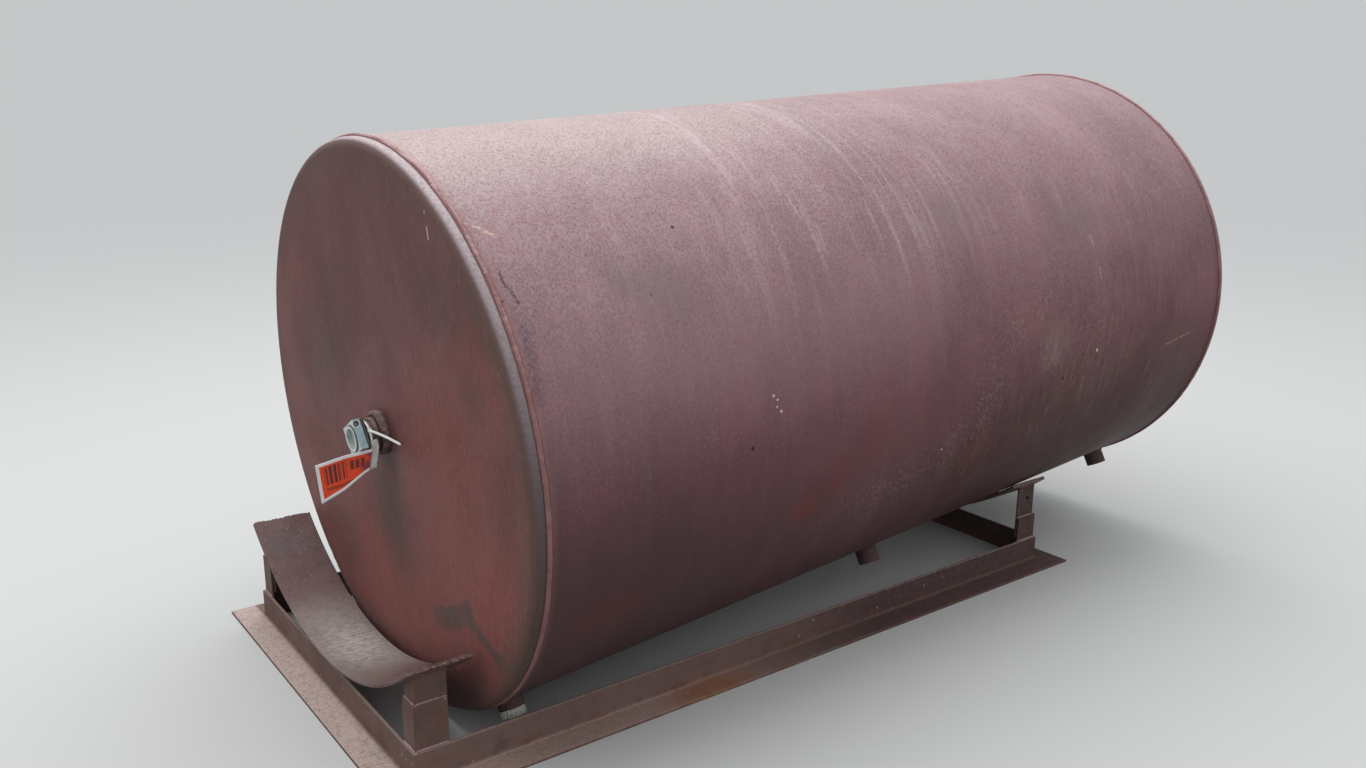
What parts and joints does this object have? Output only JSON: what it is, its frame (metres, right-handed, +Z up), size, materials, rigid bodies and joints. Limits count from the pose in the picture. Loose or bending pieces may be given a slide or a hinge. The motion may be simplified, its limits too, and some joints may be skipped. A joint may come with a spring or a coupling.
{
  "type": "horizontal pressure tank",
  "caption": "Horizontal cylindrical steel tank with flat flanged heads and a threaded head fitting, slid back and nose-down on a welded angle-iron skid with curved saddles.",
  "frame": {"origin": "on the ground under the middle of the front rail flange, half way across the skid", "axes": "+X from the front of the skid back along it and along the tank, +Y to the left of the skid, +Z up"},
  "size_m": [2.5193, 1.2854, 1.3716],
  "materials": {
    "tank_primer": "weathered matt red oxide primer",
    "weld_primer": "matt red oxide primer over rough weld",
    "skid_primer": "worn primer with rust and dust",
    "rusty_iron": "rusted",
    "zinc": "dull galvanised",
    "gasket": "matt",
    "tie": "satin",
    "tag": "printed sheet"
  },
  "bodies": {
    "root": {"tank_shell": "tank_primer", "front_head": "tank_primer", "rear_head": "tank_primer", "front_bung": "tank_primer", "middle_bung": "tank_primer", "rear_bung": "tank_primer", "front_bung_bushing": "zinc", "middle_bung_plug": "rusty_iron", "rear_bung_plug": "rusty_iron", "head_coupling": "tank_primer", "head_coupling_weld": "weld_primer", "head_nipple": "rusty_iron", "hub_gasket": "gasket", "hub_body": "zinc", "hub_ring": "zinc", "cable_tie": "tie", "lot_tag": "tag", "front_rail": "skid_primer", "rear_rail": "skid_primer", "right_rail": "skid_primer", "left_rail": "skid_primer", "front_right_stub": "skid_primer", "front_left_stub": "skid_primer", "rear_right_stub": "skid_primer", "rear_left_stub": "skid_primer", "front_right_post": "skid_primer", "front_left_post": "skid_primer", "rear_right_post": "skid_primer", "rear_left_post": "skid_primer", "front_saddle": "skid_primer", "rear_saddle": "skid_primer"}
  },
  "joints": []
}
